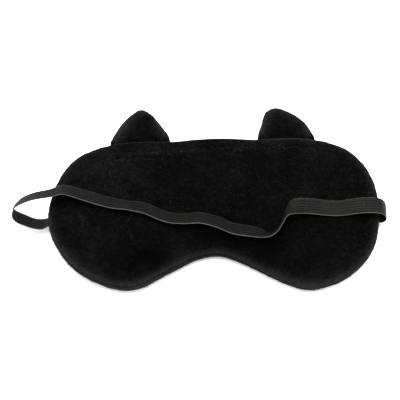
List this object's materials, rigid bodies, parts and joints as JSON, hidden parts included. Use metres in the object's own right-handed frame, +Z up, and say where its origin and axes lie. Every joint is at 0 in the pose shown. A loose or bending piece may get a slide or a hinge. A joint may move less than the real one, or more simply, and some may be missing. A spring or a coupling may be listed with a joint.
{
  "type": "sleep eye mask",
  "caption": "Padded plush sleep mask with two stuffed cat ears, a nose notch, a slack elastic head strap and a blank side tag, lying face side up.",
  "frame": {"origin": "middle of the mask on its resting face, the flat of the front panel", "axes": "+X to the right across the mask, +Y towards the ears, +Z up through the padding towards the face side"},
  "size_m": [0.2337, 0.125, 0.031],
  "materials": {
    "plush": "short dense black plush pile, soft sheen at grazing angles",
    "elastic": "flat braided elastic, lengthwise ribs, dull charcoal",
    "wadding": "soft polyester wadding",
    "liner": "close-woven light-blocking cloth",
    "thread": "spun polyester sewing thread",
    "satin": "white satin ribbon, blank"
  },
  "bodies": {
    "mask": {"front_panel": "plush", "back_panel": "plush", "wadding_front": "wadding", "wadding_back": "wadding", "blackout_liner": "liner", "seam_thread_front": "thread", "seam_thread_back": "thread", "left_bar_tack": "thread", "right_bar_tack": "thread", "left_ear_tab": "plush", "right_ear_tab": "plush", "strap_left_tab": "elastic", "strap_right_tab": "elastic", "side_tag_hem": "satin"},
    "left_ear": {"left_ear_front": "plush", "left_ear_back": "plush", "left_ear_filling": "wadding"},
    "right_ear": {"right_ear_front": "plush", "right_ear_back": "plush", "right_ear_filling": "wadding"},
    "strap": {"strap_band": "elastic", "strap_left_loop": "elastic", "strap_right_loop": "elastic"},
    "tag": {"side_tag": "satin"}
  },
  "joints": [
    {"name": "strap_lift", "type": "slide", "parent": "mask", "child": "strap", "axis": [0, 0, 1], "range_m": [0, 0.06], "stiffness_N_per_m": 20, "deforming": ["strap_left_loop", "strap_right_loop"]},
    {"name": "left_ear_flex", "type": "hinge", "parent": "mask", "child": "left_ear", "pos_m": [-0.0477, 0.04845, 0.008], "axis": [0.9971, 0.0761, 0], "range_deg": [-45, 45], "stiffness_Nm_per_rad": 0.01},
    {"name": "right_ear_flex", "type": "hinge", "parent": "mask", "child": "right_ear", "pos_m": [0.046, 0.0512, 0.008], "axis": [1, 0, 0], "range_deg": [-45, 45], "stiffness_Nm_per_rad": 0.01},
    {"name": "tag_flex", "type": "hinge", "parent": "mask", "child": "tag", "pos_m": [0.08537, 0.04458, 0.008], "axis": [0.8115, -0.5844, 0], "range_deg": [-60, 60], "stiffness_Nm_per_rad": 0.0005}
  ]
}
